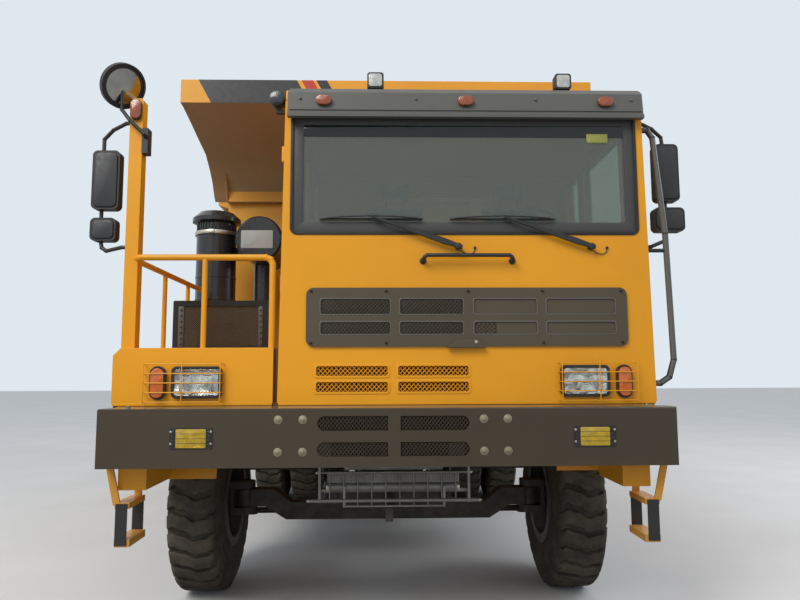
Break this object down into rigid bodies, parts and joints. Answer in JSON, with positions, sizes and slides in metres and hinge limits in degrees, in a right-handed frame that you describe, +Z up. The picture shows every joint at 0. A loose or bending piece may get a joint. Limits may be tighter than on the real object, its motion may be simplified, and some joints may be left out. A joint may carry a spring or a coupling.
{
  "type": "mining dump truck",
  "caption": "Wide-body mining dump truck with an offset cab, a tipping load body with a canopy, steered front wheels and twin rear wheels.",
  "frame": {"origin": "on the ground, under the middle of the truck's outline", "axes": "+X to the truck's left, +Y from the bumper to the tail, +Z up"},
  "size_m": [3.739, 8.9, 4.12],
  "materials": {
    "yellow_paint": "gloss paint",
    "body_paint": "satin paint",
    "rail_paint": "gloss paint",
    "step_paint": "satin paint",
    "dark_paint": "satin paint",
    "frame_paint": "satin paint",
    "tank_paint": "satin paint",
    "cleaner_paint": "satin paint",
    "rim_paint": "satin paint",
    "mesh_metal": "matt paint",
    "black_plastic": "matt",
    "lamp_housing": "gloss",
    "lamp_glass": "clear lens",
    "tinted_glass": "tinted",
    "seat_fabric": "woven cloth",
    "engine_iron": "cast",
    "axle_iron": "painted casting",
    "cooler_alloy": "dull",
    "spring_steel": "dull",
    "chrome_steel": "polished",
    "tyre": "rubber"
  },
  "bodies": {
    "chassis": {"frame_rails": "frame_paint", "cross_members": "frame_paint", "rail_brackets": "frame_paint", "deck_frames": "frame_paint", "front_bumper": "dark_paint", "front_meshes": "mesh_metal", "cab_shell": "yellow_paint", "cab_roof": "yellow_paint", "sun_visor": "dark_paint", "grille_panel": "dark_paint", "cab_glass": "tinted_glass", "seats": "seat_fabric", "dashboard": "black_plastic", "wipers": "black_plastic", "front_lamps": "lamp_glass", "small_lamps": "lamp_housing", "deck_right": "yellow_paint", "fender_left": "yellow_paint", "guard_rail": "rail_paint", "mirrors": "black_plastic", "radiator": "mesh_metal", "air_cleaners": "cleaner_paint", "engine_block": "engine_iron", "front_cooler": "cooler_alloy", "side_tanks": "tank_paint", "hanging_steps": "step_paint", "step_straps": "black_plastic", "front_axle": "axle_iron", "rear_axles": "axle_iron", "springs": "spring_steel", "propshafts": "spring_steel"},
    "bed": {"bed_body": "body_paint", "bed_canopy": "body_paint", "bed_beams": "body_paint", "bed_cross": "body_paint"},
    "barrels": {"hoist_barrels": "frame_paint"},
    "stage_1": {"hoist_stage_1": "chrome_steel"},
    "stage_2": {"hoist_stage_2": "chrome_steel"},
    "rods": {"hoist_rods": "chrome_steel"},
    "steer_left": {"knuckle_left": "axle_iron"},
    "steer_right": {"knuckle_right": "axle_iron"},
    "tie_rod": {"tie_rod": "spring_steel"},
    "wheel_front_left": {"rim_front_left": "rim_paint", "tyre_front_left": "tyre"},
    "wheel_front_right": {"rim_front_right": "rim_paint", "tyre_front_right": "tyre"},
    "wheels_mid_left": {"rims_mid_left": "rim_paint", "tyres_mid_left": "tyre"},
    "wheels_mid_right": {"rims_mid_right": "rim_paint", "tyres_mid_right": "tyre"},
    "wheels_rear_left": {"rims_rear_left": "rim_paint", "tyres_rear_left": "tyre"},
    "wheels_rear_right": {"rims_rear_right": "rim_paint", "tyres_rear_right": "tyre"},
    "door_left": {"door_left": "yellow_paint", "door_left_glass": "tinted_glass"},
    "door_right": {"door_right": "yellow_paint", "door_right_glass": "tinted_glass"}
  },
  "joints": [
    {"name": "bed_tip", "type": "hinge", "parent": "chassis", "child": "bed", "pos_m": [0, 3.35, 1.25], "axis": [-1, 0, 0], "range_deg": [0, 45]},
    {"name": "barrels_swing", "type": "hinge", "parent": "chassis", "child": "barrels", "pos_m": [0, 1.51, 0.85], "axis": [-1, 0, 0], "range_deg": [0, 21.84]},
    {"name": "stage_1_slide", "type": "slide", "parent": "barrels", "child": "stage_1", "axis": [0, 0, 1], "range_m": [0, 0.4608]},
    {"name": "stage_2_slide", "type": "slide", "parent": "stage_1", "child": "stage_2", "axis": [0, 0, 1], "range_m": [0, 0.4608]},
    {"name": "rods_slide", "type": "slide", "parent": "stage_2", "child": "rods", "axis": [0, 0, 1], "range_m": [0, 0.4608]},
    {"name": "steer_left", "type": "hinge", "parent": "chassis", "child": "steer_left", "pos_m": [1.13, -2.86, 0.685], "axis": [0, 0, 1], "range_deg": [-32, 32]},
    {"name": "steer_right", "type": "hinge", "parent": "chassis", "child": "steer_right", "pos_m": [-1.13, -2.86, 0.685], "axis": [0, 0, 1], "range_deg": [-32, 32]},
    {"name": "tie_rod_pivot", "type": "hinge", "parent": "steer_left", "child": "tie_rod", "pos_m": [1.13, -2.56, 0.53], "axis": [0, 0, 1], "range_deg": [-32, 32]},
    {"name": "roll_front_left", "type": "hinge", "parent": "steer_left", "child": "wheel_front_left", "pos_m": [1.385, -2.86, 0.685], "axis": [1, 0, 0], "continuous": true},
    {"name": "roll_mid_left", "type": "hinge", "parent": "chassis", "child": "wheels_mid_left", "pos_m": [1.26, 0.94, 0.685], "axis": [1, 0, 0], "continuous": true},
    {"name": "roll_rear_left", "type": "hinge", "parent": "chassis", "child": "wheels_rear_left", "pos_m": [1.26, 2.44, 0.685], "axis": [1, 0, 0], "continuous": true},
    {"name": "roll_front_right", "type": "hinge", "parent": "steer_right", "child": "wheel_front_right", "pos_m": [-1.385, -2.86, 0.685], "axis": [1, 0, 0], "continuous": true},
    {"name": "roll_mid_right", "type": "hinge", "parent": "chassis", "child": "wheels_mid_right", "pos_m": [-1.26, 0.94, 0.685], "axis": [1, 0, 0], "continuous": true},
    {"name": "roll_rear_right", "type": "hinge", "parent": "chassis", "child": "wheels_rear_right", "pos_m": [-1.26, 2.44, 0.685], "axis": [1, 0, 0], "continuous": true},
    {"name": "door_left_swing", "type": "hinge", "parent": "chassis", "child": "door_left", "pos_m": [1.611, -4.16, 2.6], "axis": [0, 0, -1], "range_deg": [0, 70]},
    {"name": "door_right_swing", "type": "hinge", "parent": "chassis", "child": "door_right", "pos_m": [-0.675, -4.16, 2.6], "axis": [0, 0, 1], "range_deg": [0, 70]}
  ],
  "couplings": [
    {"joint": "barrels_swing", "follows": "bed_tip", "ratio": 0.47876},
    {"joint": "stage_1_slide", "follows": "bed_tip", "m_per_rad": 0.58287},
    {"joint": "stage_2_slide", "follows": "bed_tip", "m_per_rad": 0.58287},
    {"joint": "rods_slide", "follows": "bed_tip", "m_per_rad": 0.58287},
    {"joint": "steer_right", "follows": "steer_left", "ratio": 1},
    {"joint": "tie_rod_pivot", "follows": "steer_left", "ratio": -1}
  ]
}
